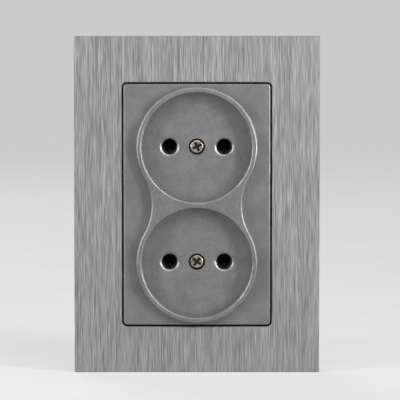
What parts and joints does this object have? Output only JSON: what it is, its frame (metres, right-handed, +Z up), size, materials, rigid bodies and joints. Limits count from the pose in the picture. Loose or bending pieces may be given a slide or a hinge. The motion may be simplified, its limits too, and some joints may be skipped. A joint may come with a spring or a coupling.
{
  "type": "double wall socket",
  "caption": "Flush wall socket with two round wells in a figure-eight collar, a flat metal frame, and screws and spreading claws that hold it in a round box.",
  "frame": {"origin": "centre of the box-screw pattern in the wall plane, behind the middle of the front", "axes": "+X right, +Y into the wall, +Z up; the front faces -Y"},
  "size_m": [0.0852, 0.0283, 0.1172],
  "materials": {
    "facing": "brushed",
    "carrier": "matte",
    "cover": "metallic paint, fine speckle",
    "cover_screw": "nickel plated",
    "insert": "turned",
    "retainer": "matte",
    "base": "matte",
    "plate": "zinc plated",
    "small_screw": "zinc plated",
    "strip": "nickel plated",
    "spring": "spring steel",
    "saddle": "nickel plated",
    "terminal_screw": "zinc plated",
    "claw": "zinc plated",
    "claw_screw": "zinc plated"
  },
  "bodies": {
    "socket": {"base_housing": "base", "claw_pin_left": "claw", "claw_pin_right": "claw", "contact_retainer": "retainer", "contact_spring_lower_left": "spring", "contact_spring_lower_right": "spring", "contact_spring_upper_left": "spring", "contact_spring_upper_right": "spring", "contact_strip_left": "strip", "contact_strip_right": "strip", "cover_insert_lower": "insert", "cover_insert_upper": "insert", "cover_screw_lower": "cover_screw", "cover_screw_upper": "cover_screw", "facing_plate": "facing", "frame_carrier": "carrier", "front_cover": "cover", "plate_screw_lower_left": "small_screw", "plate_screw_lower_right": "small_screw", "plate_screw_upper_left": "small_screw", "plate_screw_upper_right": "small_screw", "retainer_screw_lower": "small_screw", "retainer_screw_upper": "small_screw", "support_plate": "plate"},
    "claw_left_body": {"claw_left": "claw"},
    "claw_nut_left_body": {"claw_nut_left": "claw"},
    "claw_nut_right_body": {"claw_nut_right": "claw"},
    "claw_right_body": {"claw_right": "claw"},
    "claw_screw_left_body": {"claw_screw_left": "claw_screw"},
    "claw_screw_right_body": {"claw_screw_right": "claw_screw"},
    "terminal_saddle_left_body": {"terminal_saddle_left": "saddle"},
    "terminal_saddle_right_body": {"terminal_saddle_right": "saddle"},
    "terminal_screw_left_body": {"terminal_screw_left": "terminal_screw"},
    "terminal_screw_right_body": {"terminal_screw_right": "terminal_screw"}
  },
  "joints": [
    {"name": "claw_screw_turn_right", "type": "hinge", "parent": "socket", "child": "claw_screw_right_body", "pos_m": [0.02565, -0.001, 0.007], "axis": [0, 1, 0], "range_deg": [0, 576]},
    {"name": "claw_nut_slide_right", "type": "slide", "parent": "socket", "child": "claw_nut_right_body", "axis": [0, -1, 0], "range_m": [0, 0.0008]},
    {"name": "claw_spread_right", "type": "hinge", "parent": "socket", "child": "claw_right_body", "pos_m": [0.02095, 0.0024, 0.007], "axis": [0, 0, -1], "range_deg": [0, 16]},
    {"name": "terminal_saddle_slide_right", "type": "slide", "parent": "socket", "child": "terminal_saddle_right_body", "axis": [-1, 0, 0], "range_m": [0, 0.0024]},
    {"name": "terminal_screw_turn_right", "type": "hinge", "parent": "terminal_saddle_right_body", "child": "terminal_screw_right_body", "pos_m": [0.01705, 0.0056, -0.007], "axis": [-1, 0, 0], "range_deg": [0, 1728]},
    {"name": "claw_screw_turn_left", "type": "hinge", "parent": "socket", "child": "claw_screw_left_body", "pos_m": [-0.02565, -0.001, -0.007], "axis": [0, 1, 0], "range_deg": [0, 576]},
    {"name": "claw_nut_slide_left", "type": "slide", "parent": "socket", "child": "claw_nut_left_body", "axis": [0, -1, 0], "range_m": [0, 0.0008]},
    {"name": "claw_spread_left", "type": "hinge", "parent": "socket", "child": "claw_left_body", "pos_m": [-0.02095, 0.0024, -0.007], "axis": [0, 0, 1], "range_deg": [0, 16]},
    {"name": "terminal_saddle_slide_left", "type": "slide", "parent": "socket", "child": "terminal_saddle_left_body", "axis": [1, 0, 0], "range_m": [0, 0.0024]},
    {"name": "terminal_screw_turn_left", "type": "hinge", "parent": "terminal_saddle_left_body", "child": "terminal_screw_left_body", "pos_m": [-0.01705, 0.0056, 0.007], "axis": [1, 0, 0], "range_deg": [0, 1728]}
  ],
  "couplings": [
    {"joint": "claw_screw_turn_right", "follows": "claw_nut_slide_right", "rad_per_m": 12566},
    {"joint": "claw_spread_right", "follows": "claw_nut_slide_right", "rad_per_m": 349.07},
    {"joint": "terminal_screw_turn_right", "follows": "terminal_saddle_slide_right", "rad_per_m": 12566},
    {"joint": "claw_screw_turn_left", "follows": "claw_nut_slide_left", "rad_per_m": 12566},
    {"joint": "claw_spread_left", "follows": "claw_nut_slide_left", "rad_per_m": 349.07},
    {"joint": "terminal_screw_turn_left", "follows": "terminal_saddle_slide_left", "rad_per_m": 12566}
  ]
}
